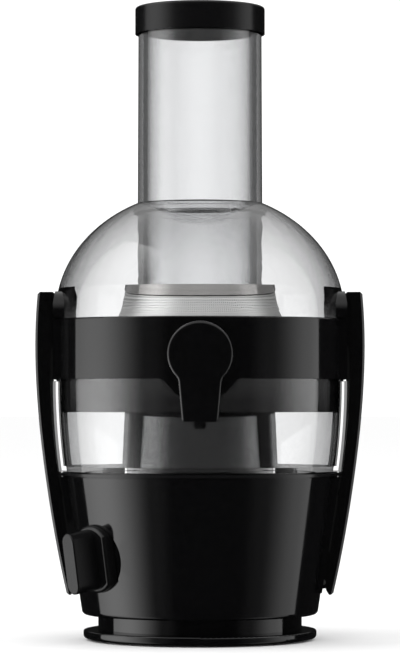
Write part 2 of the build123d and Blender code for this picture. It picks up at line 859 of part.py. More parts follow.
def pulp_container():
    """Clear ring-shaped tub with flat flanks and a chimney that fits over the motor column."""
    low, high = container_z, container_top_z
    side = container_side(0, low, high)
    outline = Curve() + [side, Polyline(side @ 1, (0, high), (0, low), side @ 0)]
    tub = bowed_blank(0, low, high)
    tub += both_sides(through(make_face(outline), flank_half_container))
    tub -= bowed_blank(container_wall, low + container_floor, high + 1)
    lip_r = container_top_r - container_step - 0.7
    tub += ring(lip_r - container_lip, lip_r, high - 1, collar_z - SEAT)
    inner_low, inner_top = column_bottom_r + SLIDE, column_top_r + SLIDE
    outer_low, outer_top = inner_low + chimney_wall, inner_top + chimney_wall
    top = column_top_z - chimney_short
    tub -= ring(0, (inner_low + outer_low) / 2, 0, BIG)
    tub += lathe((inner_low, low), (outer_low, low), (outer_top, top), (inner_top, top))
    return tub - rod(apron_r + 3 * AIR, (0, -spool_r, spout_z), (0, -BIG, spout_z))


# ================================================================ juice collector
def collar_blank():
    """Filled collar with its flat flanks."""
    blank = ring(0, collar_r, collar_z, collar_top_z)
    points = [(0, collar_z), (collar_r, collar_z), (collar_r, collar_top_z), (0, collar_top_z)]
    blank += both_sides(slab(points, flank_half_collar))
    top = blank.faces().sort_by(Axis.Z)[-1]
    return fillet(top.edges(), collar_edge)


def trough_hollow():
    """Room of the trough above its floor, which falls towards the spout."""
    slab_z = collar_z + trough_floor + trough_rise
    above = (Align.CENTER, Align.CENTER, Align.MIN)
    slope = Pos(0, 0, slab_z) * Rot(trough_fall, 0, 0) * Box(BIG, BIG, BIG, align=above)
    return ring(trough_lip_r, collar_r - collar_wall, collar_z, BIG) & slope


def juice_collector():
    """Dark collar with the sloping trough inside, the skirt below and the spigot for the spout."""
    lip_z = collar_z + trough_lip_height
    body = collar_blank() - ring(0, trough_lip_r - trough_lip_wall, 0, BIG)
    body -= ring(0, trough_lip_r, lip_z, BIG)
    skirt_z = collar_z - skirt_depth
    skirt_r = container_radius(skirt_z) - container_wall - 3 * AIR
    body += ring(skirt_r - skirt_wall, skirt_r, skirt_z, collar_z + 1)
    disc = rod(apron_r, (0, -spool_r, spout_z), (0, -BIG, spout_z))
    body += ring(collar_r - collar_wall, collar_r, collar_z - apron_r, collar_z + 1) & disc
    body += rod(spigot_r, (0, -collar_r + collar_wall, spout_z), (0, spigot_end_y, spout_z))
    body -= trough_hollow()
    outlet = rod(spigot_r - spigot_wall, (0, -trough_lip_r - 4, spout_z), (0, -BIG, spout_z))
    body -= outlet & ring(0, BIG, collar_z + trough_floor, BIG)
    groove = rod(spigot_r + 1, (0, o_ring_y - o_ring / 2, spout_z), (0, o_ring_y + o_ring / 2, spout_z))
    return body - (groove - o_ring_core())


def o_ring_core():
    """Bar inside the O-ring's groove."""
    return rod(spigot_r - o_ring / 2, (0, 0, spout_z), (0, -BIG, spout_z))


def spout_seal():
    """O-ring in the groove of the spigot, drawn as seated."""
    ends = (0, o_ring_y - o_ring / 2, spout_z), (0, o_ring_y + o_ring / 2, spout_z)
    return rod(spigot_r - RUN, *ends) - o_ring_core()


# ================================================================ spout
def spout_outline():
    """Front outline of the spout: a disc that runs down into a tapered nozzle."""
    widen = (spout_neck_half - spout_end_half) / (spout_end_drop - spout_neck_drop)
    top_half = spout_end_half + widen * spout_end_drop
    end = spout_end_half
    points = [(-top_half, 0), (-end, -spout_end_drop), (end, -spout_end_drop), (top_half, 0)]
    face = Circle(spout_disc_r) + make_face(Polyline(*points, close=True))
    corners = [v for v in face.vertices() if -spout_end_drop + 1 < v.Y < -1]
    return fillet(corners, spout_blend)


def spout():
    """Pouring spout that turns on the collector's spigot to let juice out or hold it back."""
    front = Plane(origin=(0, spout_back_y, spout_z), x_dir=(1, 0, 0), z_dir=(0, -1, 0))
    body = extrude(front * spout_outline(), spout_depth)
    body &= Pos(0, spout_back_y - spout_depth + spout_belly_r, spout_z) * Cylinder(spout_belly_r, BIG)
    rim = body.edges().filter_by(lambda e: e.center().Y < spout_back_y - 5 and e.length > 2)
    body = fillet(rim, spout_edge)
    socket = (0, spout_back_y + 1, spout_z), (0, spigot_end_y - AIR, spout_z)
    half = spout_end_half - spout_wall
    front_y = spout_back_y - spout_depth + spout_front_wall
    drop = block(-half, half, front_y, spout_back_y - spout_wall, spout_z - spout_end_drop - 1, spout_z)
    return body - rod(spigot_r + RUN, *socket) - drop


# ================================================================ lid
def dome_point(shrink, radius):
    """Point of the dome's elliptical side at a radius, moved inwards by shrink."""
    a, b = dome_r - shrink, dome_height - shrink
    return (radius, dome_z + b * math.sqrt(1 - (radius / a) ** 2))


def dome_arc(shrink, start, end):
    """Elliptical side of the dome between two radii, moved inwards by shrink."""
    a, b = dome_r - shrink, dome_height - shrink
    first, last = (math.degrees(math.acos(min(1, r / a))) for r in (start, end))
    return EllipticalCenterArc((0, dome_z), a, b, first, arc_size=last - first)


def lid_dome():
    """Clear dome with its rim and the lip that drops inside the collar."""
    hole = tube_r + RUN
    lip_r = collar_r - collar_wall - AIR
    inner_r = lip_r - lid_lip_wall
    lip_z = lid_z - lid_lip_depth
    top = Line(dome_point(0, hole), dome_point(dome_wall, hole))
    lip = [dome_point(dome_wall, inner_r), (inner_r, lip_z), (lip_r, lip_z), (lip_r, lid_z)]
    foot = Polyline(*lip, (dome_r, lid_z), (dome_r, dome_z))
    return turned(dome_arc(0, dome_r, hole), top, dome_arc(dome_wall, hole, inner_r), foot)


def feed_tube():
    """Clear chute for the fruit, held in the dome by its shoulder."""
    step_r = tube_r + tube_shoulder_step
    top = dome_point(dome_wall, step_r)[1] - AIR
    low = top - tube_shoulder
    tube = lathe(
        (tube_bore_r, tube_foot_z),
        (tube_r - tube_draft, tube_foot_z),
        (tube_r, low),
        (step_r, low + 1),
        (step_r, top),
        (tube_r, top),
        (tube_r, dome_top_z),
        (tube_r - tube_draft, tube_top_z),
        (tube_bore_r, tube_top_z),
    )
    return fillet(tube.edges().group_by(Axis.Z)[-1].sort_by(SortBy.RADIUS)[0], tube_edge)


def lid_catch():
    """Dark block on the right flank of the dome, where the clamp presses the lid down."""
    out_x = dome_r + catch_thick
    low, high = lid_z + 0.4, lid_z + catch_height
    points = [(0, low), (out_x, low), (out_x, high - 8), (out_x - 1.1, high), (0, high)]
    face = Plane.YZ * Pos(0, (low + high) / 2) * Rectangle(2 * catch_half, high - low)
    corners = [v for v in face.vertices() if v.Z > low + 1]
    arch = extrude(fillet(corners, catch_corner), BIG)
    rim_r = dome_r + RUN
    edge = Polyline(dome_point(-RUN, 1), (1, lid_z), (rim_r, lid_z), (rim_r, dome_z))
    dome = turned(dome_arc(-RUN, rim_r, 1), edge)
    return (slab(points, catch_half + 1) & arch) - dome - ring(0, 2, 0, BIG)


# ================================================================ pusher
def pusher_tube():
    """Clear hollow piston, closed at the bottom."""
    top = cap_z + cap_height - cap_groove
    bore = pusher_r - pusher_wall
    return lathe(
        (0, pusher_foot_z),
        (pusher_r - 1, pusher_foot_z),
        (pusher_r, pusher_foot_z + 1),
        (pusher_r, top),
        (bore, top),
        (bore, pusher_foot_z + pusher_floor),
        (0, pusher_foot_z + pusher_floor),
    )


def pusher_cap():
    """Black top of the pusher, with a groove for the clear tube and a plug inside it."""
    low, top = cap_z + cap_band_flange, cap_z + cap_height
    cap = ring(0, cap_r, low, top)
    cap = fillet(outer_edge(cap, -1), cap_edge)
    bore = pusher_r - pusher_wall
    cap += ring(0, bore, cap_z - cap_plug, low)
    return cap - ring(bore, pusher_r, low - 1, top - cap_groove)


def pusher_cap_band():
    """Black ring under the cap that hides the rim of the feed tube."""
    top = cap_z + cap_band_flange
    band = ring(tube_r + SLIDE, cap_r, top - cap_band, top)
    return band + ring(pusher_r, cap_r, cap_z, top)


# ================================================================ clamps
def clamp_levels():
    """Heights where the clamp's sides are set: housing, plunger, container, collar and top."""
    collar_mid = (collar_z + collar_top_z) / 2
    container_mid = (container_z + container_top_z) / 2
    top = collar_top_z + clamp_top_above_collar
    return pocket_high + AIR, plunger_z, container_mid, collar_mid, top


def clamp_outline():
    """Side view of the right clamp: bowed arm, lug in the pocket and slanted tip."""
    low, mid, bend, collar_mid, top = clamp_levels()
    gap, full = clamp_gap, clamp_gap + clamp_arm
    inner = [
        (body_radius(low) + gap, low),
        (body_radius(mid) + gap, mid),
        (container_middle_r + gap, bend),
        (collar_r + gap, collar_mid),
    ]
    tip_z = pivot_z - clamp_tip_drop
    outer = [
        (collar_r + full, top),
        (collar_r + full + clamp_bow, collar_mid),
        (container_middle_r + full, bend),
        (body_radius(mid) + full, mid),
        (body_radius(low) + full - clamp_taper, low),
        (pivot_x + clamp_tip_out, tip_z),
    ]
    foot = [
        outer[-1],
        (outer[-1][0] - clamp_tip_width, tip_z),
        (pivot_x + clamp_foot_relief, pivot_z - clamp_knuckle_r),
        (pivot_x, pivot_z),
        (pivot_x - clamp_knuckle_r, pivot_z),
        (pivot_x - clamp_lug_in, pivot_z + clamp_lug_high),
        (inner[0][0] - 1, pivot_z + clamp_lug_high),
        inner[0],
    ]
    pad_x = collar_r + AIR
    head = [inner[-1], (pad_x, inner[-1][1] + 4), (pad_x, top), outer[0]]
    face = make_face(Curve() + [Spline(*outer), Polyline(*foot), Spline(*inner), Polyline(*head)])
    return face + Pos(pivot_x, pivot_z) * Circle(clamp_knuckle_r)


def clamp_right():
    """Long bowed clamp, hinged low on the housing, that closes over the lid."""
    low, _, bend, _, top = clamp_levels()
    bar = through(clamp_outline(), BIG)
    foot, head = (0, clamp_half_foot), (BIG, clamp_half_top)
    bar &= flank(foot, (low, clamp_half_foot), (bend, clamp_half_top), head)
    back = bar.faces().sort_by(Axis.X)[-1]
    bar = chamfer(back.edges(), clamp_edge)
    return bar - rod(clamp_pin_r + RUN, (pivot_x, -BIG, pivot_z), (pivot_x, BIG, pivot_z))


def clamp_pin():
    """Steel hinge pin of the right clamp, held in the walls of the housing's pocket."""
    end = pocket_half + pocket_wall
    return rod(clamp_pin_r, (pivot_x, -end + 0.5, pivot_z), (pivot_x, end, pivot_z))


# ================================================================ interlock
def interlock_plunger():
    """Pin through the right wall, pushed in by the closed clamp."""
    foot = plunger_x - plunger_length
    return plunger_bar(plunger_r, foot, plunger_x) + plunger_bar(plunger_r + plunger_collar, foot, foot + 2)


def interlock_switch():
    """Micro-switch that the right plunger works, on two pegs of the housing."""
    low, half = plunger_z - switch_height / 2, switch_width / 2
    switch = block(switch_x - switch_depth, switch_x, -half, half, low, low + switch_height)
    for y in (-switch_peg_spread, switch_peg_spread):
        switch -= plunger_bar(switch_peg_r, 0, BIG, y)
    return switch


# ================================================================ control knob
def control_knob():
    """Round dial with an upright grip bar, sunk a little into the housing."""
    dial = Pos(0, 0, knob_disc / 2) * Cylinder(knob_r, knob_disc) & Box(2 * knob_half, BIG, BIG)
    dial = fillet(dial.edges().group_by(Axis.Z)[-1], knob_edge)
    grip = extrude(SlotOverall(grip_length, grip_width, rotation=90), knob_disc + grip_height)
    grip = fillet(grip.edges().group_by(Axis.Z)[-1], grip_edge)
    knob = knob_plane(AIR - knob_sunk) * (dial + grip)
    return knob - knob_bar(knob_shaft_r, -BIG, knob_shaft_top)



def knob_shaft():
    """Shaft from the knob to the switch."""
    return knob_bar(knob_shaft_r, knob_shaft_top - knob_shaft_length, knob_shaft_top)


def dial_switch():
    """Speed switch behind the knob's seat."""
    seat = -knob_sunk - knob_seat_wall
    low = seat - 1.4 - dial_switch_depth
    above = (Align.CENTER, Align.CENTER, Align.MIN)
    box = Box(dial_switch_width, dial_switch_height, dial_switch_depth, align=above)
    switch = knob_plane(low) * box + knob_bar(shaft_collar_r, seat - 2, seat)
    return switch - knob_bar(knob_shaft_r + RUN, -BIG, BIG)


# ================================================================ STEP files
PARTS = {
    "foot_ring": foot_ring,
    "foot_plate": foot_plate,
    "base_screws": base_screws,
    "cord_spool": cord_spool,
    "housing_screws": housing_screws,
    "motor_housing": motor_housing,
    "deck_screws": deck_screws,
    "cord_gland": cord_gland,
    "top_deck": top_deck,
    "shaft_seal": shaft_seal,
    "motor_mounts": motor_mounts,
    "lower_bracket": lower_bracket,
    "lower_bearing": lower_bearing,
    "upper_bracket": upper_bracket,
    "upper_bearing": upper_bearing,
    "motor_bolts": motor_bolts,
    "stator_core": stator_core,
    "field_coils": field_coils,
    "brush_holders": brush_holders,
    "carbon_brushes": carbon_brushes,
    "motor_shaft": motor_shaft,
    "rotor_core": rotor_core,
    "rotor_windings": rotor_windings,
    "commutator": commutator,
    "cooling_fan": cooling_fan,
    "drive_coupling": drive_coupling,
    "sieve_socket": sieve_socket,
    "sieve_spider": sieve_spider,
    "sieve_mesh": sieve_mesh,
    "sieve_top_ring": sieve_top_ring,
    "grater_disc": grater_disc,
    "grater_screws": grater_screws,
    "pulp_container": pulp_container,
    "juice_collector": juice_collector,
    "spout": spout,
    "spout_seal": spout_seal,
    "lid_dome": lid_dome,
    "feed_tube": feed_tube,
    "lid_catch_right": lid_catch,
    "pusher_tube": pusher_tube,
    "pusher_cap": pusher_cap,
    "pusher_cap_band": pusher_cap_band,
    "clamp_right": clamp_right,
    "clamp_pin_right": clamp_pin,
    "interlock_plunger_right": interlock_plunger,
    "interlock_switch_right": interlock_switch,
    "control_knob": control_knob,
    "knob_shaft": knob_shaft,
    "dial_switch": dial_switch,
}

os.makedirs("parts", exist_ok=True)
for name, make in PARTS.items():
    shape = make()
    export_step(shape, f"parts/{name}.step")
    if name.endswith("_right"):
        twin = name.replace("_right", "_left")
        export_step(mirrored(shape), f"parts/{twin}.step")
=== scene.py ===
"""Looks of the centrifugal juicer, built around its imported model.

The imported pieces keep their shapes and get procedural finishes. The perforated wall of the sieve, whose holes
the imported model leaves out, is modelled here. A small studio stands round the juicer.

Metres. Z is up and is the axis of the motor shaft, -Y is the front, and the table is at Z = 0.
"""

import json
import logging
import math
from dataclasses import dataclass
from enum import Enum

import bpy
from mathutils import Matrix, Vector


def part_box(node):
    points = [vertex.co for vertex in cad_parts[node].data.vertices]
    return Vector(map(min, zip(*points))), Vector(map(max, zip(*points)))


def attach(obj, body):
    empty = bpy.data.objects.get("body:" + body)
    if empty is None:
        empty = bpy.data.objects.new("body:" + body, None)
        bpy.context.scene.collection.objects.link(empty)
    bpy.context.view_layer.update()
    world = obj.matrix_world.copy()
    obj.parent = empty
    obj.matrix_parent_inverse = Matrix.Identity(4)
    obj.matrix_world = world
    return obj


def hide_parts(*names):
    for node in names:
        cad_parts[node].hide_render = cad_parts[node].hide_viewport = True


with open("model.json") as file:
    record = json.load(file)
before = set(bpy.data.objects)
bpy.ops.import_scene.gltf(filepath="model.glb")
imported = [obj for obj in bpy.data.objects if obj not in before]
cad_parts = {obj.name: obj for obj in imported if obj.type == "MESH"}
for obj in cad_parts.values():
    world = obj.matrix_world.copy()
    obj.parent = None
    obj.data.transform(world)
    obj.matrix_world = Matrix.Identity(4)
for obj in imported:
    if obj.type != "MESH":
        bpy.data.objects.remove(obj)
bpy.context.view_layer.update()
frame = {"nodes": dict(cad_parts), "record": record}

MM = 0.001
Colour = tuple[float, float, float]

log = logging.getLogger("juicer")


# ================================================================ shader bench
class Bench:
    """A shader node tree being built, with short ways to add and join its nodes."""

    def __init__(self, tree: bpy.types.NodeTree) -> None:
        """Starts on a tree.

        Args:
            tree: The node tree, which is emptied first.
        """
        self.tree = tree
        tree.nodes.clear()
        self.column = 0

    def add(self, kind: str, **settings: object) -> bpy.types.Node:
        """Adds one node, to the right of the last one.

        Args:
            kind: The node's Blender type.
            settings: Properties to set on it.

        Returns:
            The new node.
        """
        node = self.tree.nodes.new(kind)
        node.location = (220 * self.column, 0)
        self.column += 1
        for name, value in settings.items():
            setattr(node, name, value)
        return node

    def join(self, start: bpy.types.NodeSocket, end: bpy.types.NodeSocket) -> None:
        """Joins an output to an input."""
        self.tree.links.new(start, end)

    def maths(self, operation: str, first: object, second: object) -> bpy.types.NodeSocket:
        """Adds a Math node.

        Args:
            operation: Its operation.
            first: A socket or a number.
            second: A socket or a number.

        Returns:
            Its output.
        """
        node = self.add("ShaderNodeMath", operation=operation)
        for place, value in enumerate((first, second)):
            self.feed(value, node.inputs[place])
        return node.outputs[0]

    def feed(self, value: object, socket: bpy.types.NodeSocket) -> None:
        """Sets an input, or joins it if the value is a socket."""
        if isinstance(value, bpy.types.NodeSocket):
            self.join(value, socket)
        else:
            socket.default_value = value

    def span(self, value: bpy.types.NodeSocket, low: float, high: float,
             new_low: float, new_high: float) -> bpy.types.NodeSocket:
        """Moves a value from one range to another, held at the ends.

        Args:
            value: The socket with the value.
            low: Start of the old range.
            high: End of the old range.
            new_low: Start of the new range.
            new_high: End of the new range.

        Returns:
            The new value.
        """
        node = self.add("ShaderNodeMapRange", clamp=True)
        self.join(value, node.inputs["Value"])
        for name, number in zip(("From Min", "From Max", "To Min", "To Max"), (low, high, new_low, new_high)):
            node.inputs[name].default_value = number
        return node.outputs["Result"]


class Effect(Enum):
    """Surface effects that more than one finish uses. Each is one shared node group."""

    GRAIN = "moulded_grain"
    MARKS = "handling_marks"
    TURNING = "turning_lines"


def new_group(effect: Effect, inputs: dict[str, float], outputs: tuple[str, ...]) -> bpy.types.NodeTree:
    """Makes an empty shader node group with its sockets.

    Args:
        effect: Which effect it is for.
        inputs: Names and defaults of its inputs.
        outputs: Names of its outputs.

    Returns:
        The group's tree.
    """
    tree = bpy.data.node_groups.new(effect.value, "ShaderNodeTree")
    for name, default in inputs.items():
        socket = tree.interface.new_socket(name, in_out="INPUT", socket_type="NodeSocketFloat")
        socket.default_value = default
    for name in outputs:
        tree.interface.new_socket(name, in_out="OUTPUT", socket_type="NodeSocketFloat")
    return tree


def grain_group() -> bpy.types.NodeTree:
    """Builds the fine unevenness of a moulded surface.

    Returns:
        A group that gives a roughness, a height and a mask.
    """
    tree = new_group(Effect.GRAIN, {"Scale": 500.0, "Roughness": 0.1, "Spread": 0.05},
                     ("Roughness", "Height", "Mask"))
    bench = Bench(tree)
    given = bench.add("NodeGroupInput")
    place = bench.add("ShaderNodeTexCoord")
    noise = bench.add("ShaderNodeTexNoise")
    noise.inputs["Detail"].default_value = 3.0
    bench.join(place.outputs["Object"], noise.inputs["Vector"])
    bench.join(given.outputs["Scale"], noise.inputs["Scale"])
    centred = bench.maths("SUBTRACT", noise.outputs["Fac"], 0.5)
    shift = bench.maths("MULTIPLY", centred, given.outputs["Spread"])
    rough = bench.maths("ADD", given.outputs["Roughness"], shift)
    result = bench.add("NodeGroupOutput")
    bench.join(rough, result.inputs["Roughness"])
    bench.join(noise.outputs["Fac"], result.inputs["Height"])
    bench.join(bench.span(noise.outputs["Fac"], 0.35, 0.65, 0.0, 1.0), result.inputs["Mask"])
    return tree


def marks_group() -> bpy.types.NodeTree:
    """Builds the faint smears that hands and cloths leave on a smooth surface.

    Returns:
        A group that gives an added roughness and a mask.
    """
    tree = new_group(Effect.MARKS, {"Scale": 25.0, "Amount": 0.05}, ("Added Roughness", "Mask"))
    bench = Bench(tree)
    given = bench.add("NodeGroupInput")
    place = bench.add("ShaderNodeTexCoord")
    noise = bench.add("ShaderNodeTexNoise")
    noise.inputs["Detail"].default_value = 5.0
    noise.inputs["Distortion"].default_value = 0.8
    bench.join(place.outputs["Object"], noise.inputs["Vector"])
    bench.join(given.outputs["Scale"], noise.inputs["Scale"])
    mask = bench.span(noise.outputs["Fac"], 0.52, 0.72, 0.0, 1.0)
    result = bench.add("NodeGroupOutput")
    bench.join(bench.maths("MULTIPLY", mask, given.outputs["Amount"]), result.inputs["Added Roughness"])
    bench.join(mask, result.inputs["Mask"])
    return tree


def turning_group() -> bpy.types.NodeTree:
    """Builds lines that run round the motor's axis, as turning, spinning or stacking leaves them.

    Returns:
        A group that gives a height and a mask.
    """
    tree = new_group(Effect.TURNING, {"Scale": 900.0}, ("Height", "Mask"))
    bench = Bench(tree)
    given = bench.add("NodeGroupInput")
    place = bench.add("ShaderNodeTexCoord")
    parts = bench.add("ShaderNodeSeparateXYZ")
    bench.join(place.outputs["Object"], parts.inputs[0])
    flat = bench.add("ShaderNodeCombineXYZ")
    bench.join(parts.outputs["X"], flat.inputs["X"])
    bench.join(parts.outputs["Y"], flat.inputs["Y"])
    reach = bench.add("ShaderNodeVectorMath", operation="LENGTH")
    bench.join(flat.outputs[0], reach.inputs[0])
    track = bench.add("ShaderNodeCombineXYZ")
    bench.join(reach.outputs["Value"], track.inputs["X"])
    bench.join(parts.outputs["Z"], track.inputs["Y"])
    noise = bench.add("ShaderNodeTexNoise")
    noise.inputs["Detail"].default_value = 2.0
    bench.join(track.outputs[0], noise.inputs["Vector"])
    bench.join(given.outputs["Scale"], noise.inputs["Scale"])
    result = bench.add("NodeGroupOutput")
    bench.join(noise.outputs["Fac"], result.inputs["Height"])
    bench.join(bench.span(noise.outputs["Fac"], 0.35, 0.65, 0.0, 1.0), result.inputs["Mask"])
    return tree


GROUP_MAKERS = {Effect.GRAIN: grain_group, Effect.MARKS: marks_group, Effect.TURNING: turning_group}


def effect_node(bench: Bench, effect: Effect, **values: float) -> bpy.types.Node:
    """Puts a shared effect into a material, and builds its group the first time.

    Args:
        bench: The material's tree.
        effect: Which effect.
        values: Its input values, with spaces in the names as underscores.

    Returns:
        The group node.
    """
    tree = bpy.data.node_groups.get(effect.value) or GROUP_MAKERS[effect]()
    node = bench.add("ShaderNodeGroup")
    node.node_tree = tree
    for name, value in values.items():
        node.inputs[name.replace("_", " ")].default_value = value
    return node


# ================================================================ finishes
@dataclass(frozen=True)
class Finish:
    """An opaque moulded or cast surface, with grain and handling marks."""

    name: str
    colour: Colour
    second_colour: Colour
    roughness: float = 0.3
    spread: float = 0.1
    grain: float = 600.0
    grain_height: float = 0.02 * MM
    marks: float = 0.0
    metallic: float = 0.0
    specular: float = 0.5
    coat: float = 0.0

    def pattern(self, bench: Bench) -> tuple[object, object, object]:
        """Puts in the nodes that this finish's pattern needs.

        Args:
            bench: The material's tree.

        Returns:
            The sockets with its roughness, height and colour mask.
        """
        grain = effect_node(bench, Effect.GRAIN, Scale=self.grain, Roughness=self.roughness,
                            Spread=self.spread)
        marks = effect_node(bench, Effect.MARKS, Amount=self.marks)
        rough = bench.maths("ADD", grain.outputs["Roughness"], marks.outputs["Added Roughness"])
        return rough, grain.outputs["Height"], grain.outputs["Mask"]

    def material(self) -> bpy.types.Material:
        """Builds the material, or gives the one built before.

        Returns:
            The material.
        """
        if self.name in bpy.data.materials:
            return bpy.data.materials[self.name]
        material = bpy.data.materials.new(self.name)
        material.use_nodes = True
        bench = Bench(material.node_tree)
        rough, height, mask = self.pattern(bench)
        mix = bench.add("ShaderNodeMix", data_type="RGBA")
        mix.inputs["A"].default_value = (*self.colour, 1.0)
        mix.inputs["B"].default_value = (*self.second_colour, 1.0)
        bench.join(mask, mix.inputs["Factor"])
        bump = bench.add("ShaderNodeBump")
        bump.inputs["Strength"].default_value = 1.0
        bump.inputs["Distance"].default_value = self.grain_height
        bench.join(height, bump.inputs["Height"])
        shader = bench.add("ShaderNodeBsdfPrincipled")
        shader.inputs["Metallic"].default_value = self.metallic
        shader.inputs["Specular IOR Level"].default_value = self.specular
        shader.inputs["Coat Weight"].default_value = self.coat
        bench.join(mix.outputs["Result"], shader.inputs["Base Color"])
        bench.join(rough, shader.inputs["Roughness"])
        bench.join(bump.outputs["Normal"], shader.inputs["Normal"])
        result = bench.add("ShaderNodeOutputMaterial")
        bench.join(shader.outputs[0], result.inputs["Surface"])
        return material


@dataclass(frozen=True)
class TurnedFinish(Finish):
    """A metal surface with lines that run round the motor's axis."""

    line_scale: float = 900.0

    def pattern(self, bench: Bench) -> tuple[object, object, object]:
        """Puts in turning lines, with marks over them.

        Args:
            bench: The material's tree.

        Returns:
            The sockets with its roughness, height and colour mask.
        """
        lines = effect_node(bench, Effect.TURNING, Scale=self.line_scale)
        marks = effect_node(bench, Effect.MARKS, Amount=self.marks)
        low, high = self.roughness - self.spread / 2, self.roughness + self.spread / 2
        rough = bench.maths("ADD", bench.span(lines.outputs["Mask"], 0.0, 1.0, low, high),
                            marks.outputs["Added Roughness"])
        return rough, lines.outputs["Height"], lines.outputs["Mask"]


@dataclass(frozen=True)
class ClearFinish:
    """Clear plastic, faintly smoky, that is darker where it is looked at along its wall."""

    name: str
    colour: Colour
    edge_colour: Colour
    roughness: float = 0.003
    ior: float = 1.49

    def material(self) -> bpy.types.Material:
        """Builds the material, or gives the one built before.

        Returns:
            The material.
        """
        if self.name in bpy.data.materials:
            return bpy.data.materials[self.name]
        material = bpy.data.materials.new(self.name)
        material.use_nodes = True
        bench = Bench(material.node_tree)
        grain = effect_node(bench, Effect.GRAIN, Scale=60.0, Roughness=self.roughness, Spread=0.004)
        slant = bench.add("ShaderNodeLayerWeight")
        slant.inputs["Blend"].default_value = 0.5
        mix = bench.add("ShaderNodeMix", data_type="RGBA")
        mix.inputs["A"].default_value = (*self.colour, 1.0)
        mix.inputs["B"].default_value = (*self.edge_colour, 1.0)
        bench.join(slant.outputs["Facing"], mix.inputs["Factor"])
        shader = bench.add("ShaderNodeBsdfPrincipled")
        shader.inputs["Transmission Weight"].default_value = 1.0
        shader.inputs["IOR"].default_value = self.ior
        bench.join(mix.outputs["Result"], shader.inputs["Base Color"])
        bench.join(grain.outputs["Roughness"], shader.inputs["Roughness"])
        path = bench.add("ShaderNodeLightPath")
        clear = bench.add("ShaderNodeBsdfTransparent")
        clear.inputs[0].default_value = (*self.colour, 1.0)
        both = bench.add("ShaderNodeMixShader")
        bench.join(path.outputs["Is Shadow Ray"], both.inputs[0])
        bench.join(shader.outputs[0], both.inputs[1])
        bench.join(clear.outputs[0], both.inputs[2])
        result = bench.add("ShaderNodeOutputMaterial")
        bench.join(both.outputs[0], result.inputs["Surface"])
        return material


BLACK_GLOSS = Finish("black_gloss_plastic", (0.0018, 0.0018, 0.0020), (0.0028, 0.0028, 0.0030),
                     roughness=0.07, spread=0.02, grain=380.0, grain_height=0.002 * MM, marks=0.03)
BLACK_CLAMP = Finish("black_clamp_plastic", (0.0015, 0.0015, 0.0017), (0.0024, 0.0024, 0.0026),
                     roughness=0.16, spread=0.04, grain=420.0, grain_height=0.003 * MM, marks=0.05)
BLACK_SATIN = Finish("black_satin_plastic", (0.0025, 0.0025, 0.0027), (0.0040, 0.0040, 0.0043),
                     roughness=0.22, spread=0.05, grain=900.0, grain_height=0.006 * MM,
                     specular=0.38, marks=0.05)
CLEAR = ClearFinish("clear_smoky_plastic", (0.97, 0.972, 0.975), (0.30, 0.303, 0.306))
INNER_GREY = Finish("inner_grey_plastic", (0.0040, 0.0040, 0.0043), (0.0060, 0.0060, 0.0064),
                    roughness=0.18, spread=0.08, grain=700.0, grain_height=0.01 * MM, marks=0.08)
RUBBER = Finish("black_rubber", (0.020, 0.020, 0.020), (0.034, 0.033, 0.032),
                roughness=0.75, spread=0.15, grain=1100.0, grain_height=0.03 * MM, marks=0.05)
POLISHED = TurnedFinish("polished_steel", (0.40, 0.39, 0.38), (0.46, 0.45, 0.44),
                        roughness=0.12, spread=0.04, metallic=1.0, line_scale=1500.0,
                        grain_height=0.002 * MM, marks=0.05)
SIEVE_STEEL = TurnedFinish("sieve_steel", (0.70, 0.70, 0.69), (0.82, 0.82, 0.81),
                           roughness=0.34, spread=0.10, metallic=1.0, line_scale=1200.0,
                           grain_height=0.001 * MM, marks=0.06)
PLAIN_STEEL = Finish("plain_steel", (0.46, 0.46, 0.46), (0.56, 0.56, 0.55),
                     roughness=0.36, spread=0.14, grain=800.0, grain_height=0.006 * MM,
                     metallic=1.0, marks=0.12)
LAMINATED = TurnedFinish("laminated_steel", (0.16, 0.16, 0.17), (0.30, 0.30, 0.31),
                         roughness=0.45, spread=0.2, metallic=0.9, line_scale=2200.0,
                         grain_height=0.05 * MM, marks=0.1)
COPPER = TurnedFinish("enamelled_copper", (0.50, 0.17, 0.07), (0.72, 0.30, 0.13),
                      roughness=0.30, spread=0.15, metallic=0.9, line_scale=1400.0,
                      grain_height=0.10 * MM, marks=0.08, coat=0.4)
BRASS = Finish("drawn_brass", (0.62, 0.45, 0.18), (0.74, 0.57, 0.26),
               roughness=0.32, spread=0.14, grain=500.0, grain_height=0.006 * MM,
               metallic=1.0, marks=0.15)
CARBON = Finish("pressed_carbon", (0.018, 0.018, 0.020), (0.050, 0.050, 0.054),
                roughness=0.6, spread=0.2, grain=1500.0, grain_height=0.04 * MM)
FAN_GREY = Finish("grey_fan_plastic", (0.16, 0.16, 0.17), (0.20, 0.20, 0.21),
                  roughness=0.42, spread=0.1, grain=900.0, grain_height=0.015 * MM, marks=0.08)
SWITCH_WHITE = Finish("pale_switch_plastic", (0.62, 0.61, 0.56), (0.70, 0.69, 0.65),
                      roughness=0.4, spread=0.1, grain=800.0, grain_height=0.012 * MM, marks=0.06)

SLOT_FINISHES = {
    "housing_black": BLACK_GLOSS,
    "clamp_black": BLACK_CLAMP,
    "knob_black": BLACK_SATIN,
    "clear_plastic": CLEAR,
    "inner_grey": INNER_GREY,
    "rubber_black": RUBBER,
    "steel_polished": POLISHED,
    "steel_mesh": SIEVE_STEEL,
    "steel_plain": PLAIN_STEEL,
    "laminated_steel": LAMINATED,
    "copper": COPPER,
    "brass": BRASS,
    "carbon": CARBON,
    "fan_grey": FAN_GREY,
    "switch_white": SWITCH_WHITE,
}


# ================================================================ modelling helpers
def nothing_selected() -> None:
    """Deselects every object and leaves edit mode."""
    if bpy.context.object is not None and bpy.context.object.mode != "OBJECT":
        bpy.ops.object.mode_set(mode="OBJECT")
    bpy.ops.object.select_all(action="DESELECT")


